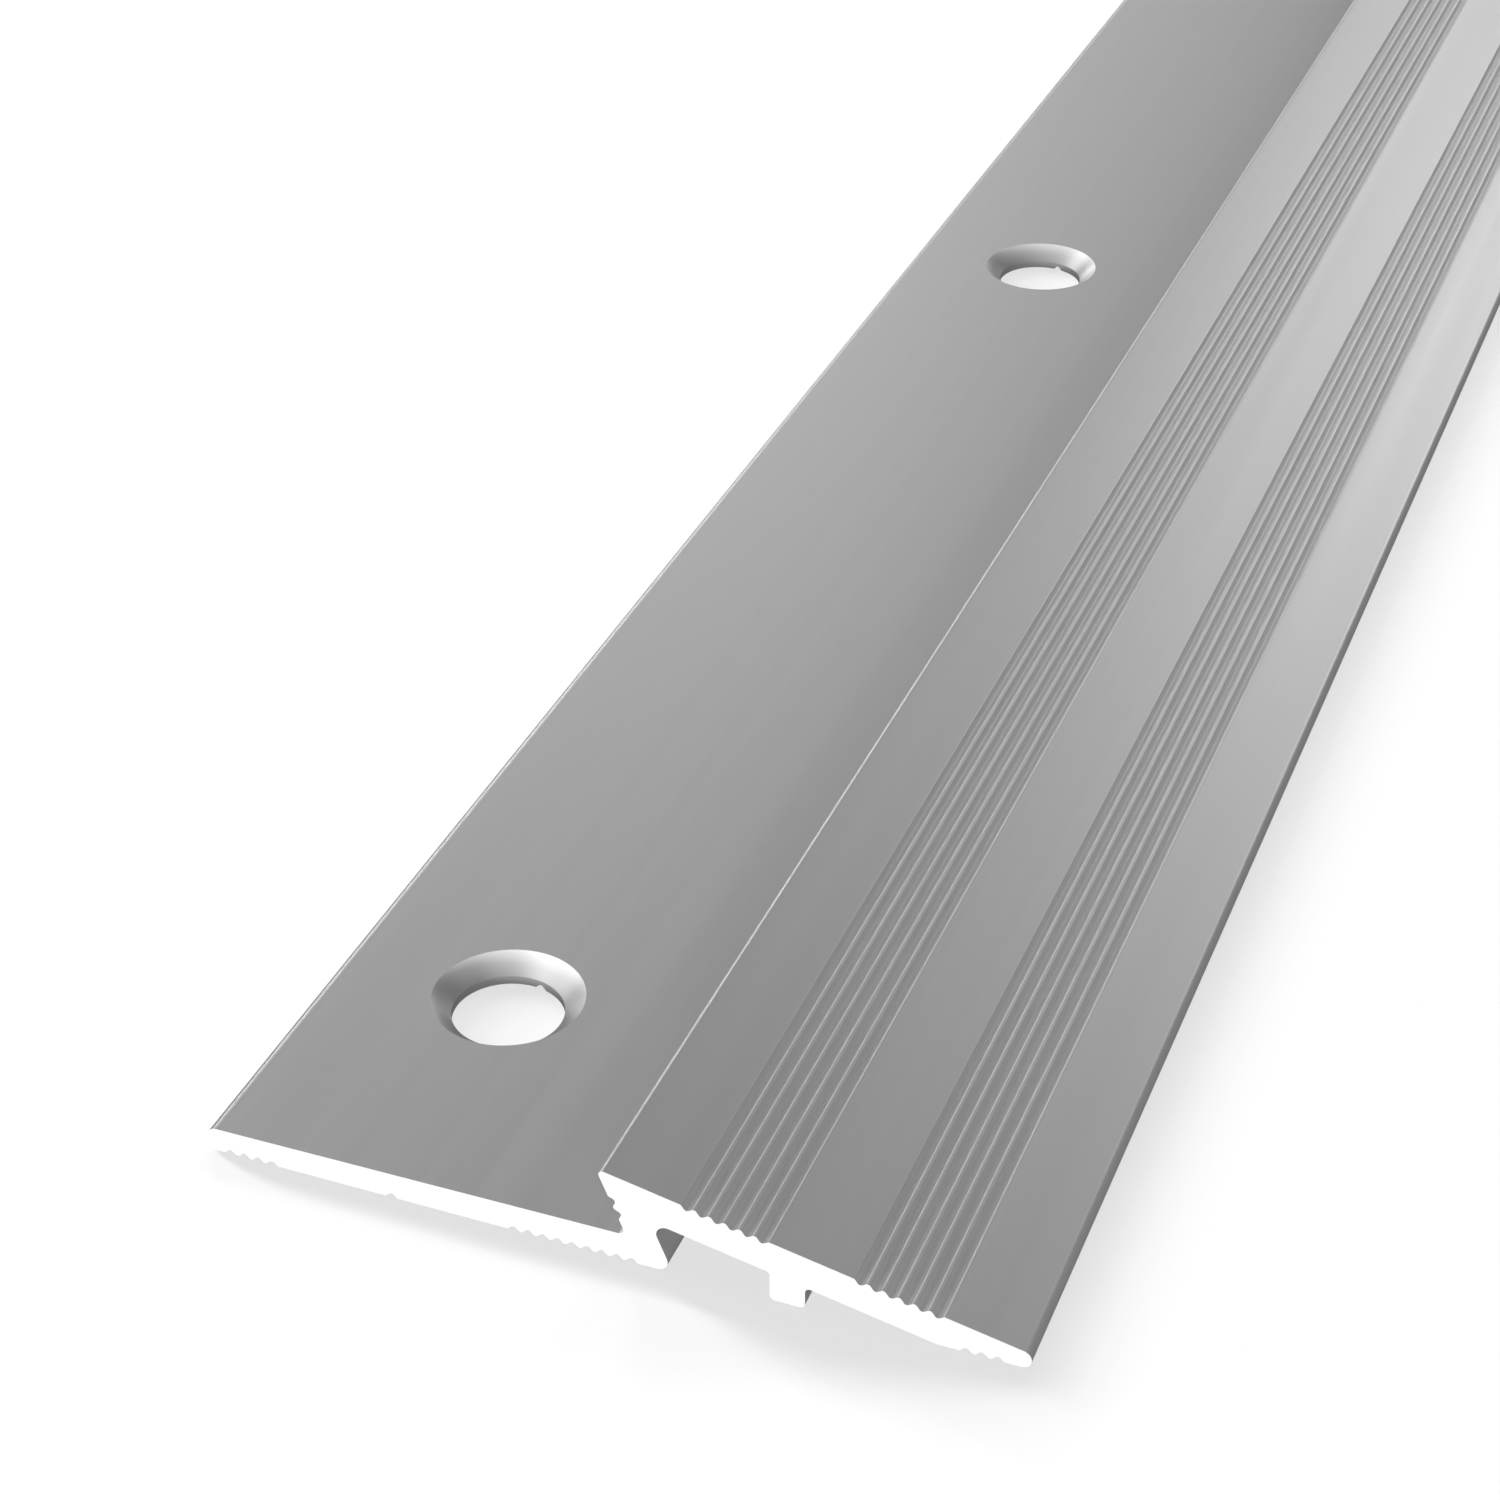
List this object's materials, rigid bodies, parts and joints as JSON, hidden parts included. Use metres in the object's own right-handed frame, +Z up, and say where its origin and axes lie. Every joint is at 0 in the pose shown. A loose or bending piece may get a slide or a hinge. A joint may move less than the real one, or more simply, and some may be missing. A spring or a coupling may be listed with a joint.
{
  "type": "threshold strip",
  "caption": "Flat metal threshold strip: a thin flange with countersunk screw holes in line, an undercut stop and a low grooved ramp down to the floor.",
  "frame": {"origin": "middle of the footprint, on the floor", "axes": "+X across the strip from the flange to the ramp, +Y along the strip, +Z up"},
  "size_m": [0.0448, 0.931, 0.0055],
  "materials": {
    "anodised": "satin silver anodised, fine lines along the strip, bright where it was drilled and sawn"
  },
  "bodies": {
    "root": {"profile": "anodised"}
  },
  "joints": []
}
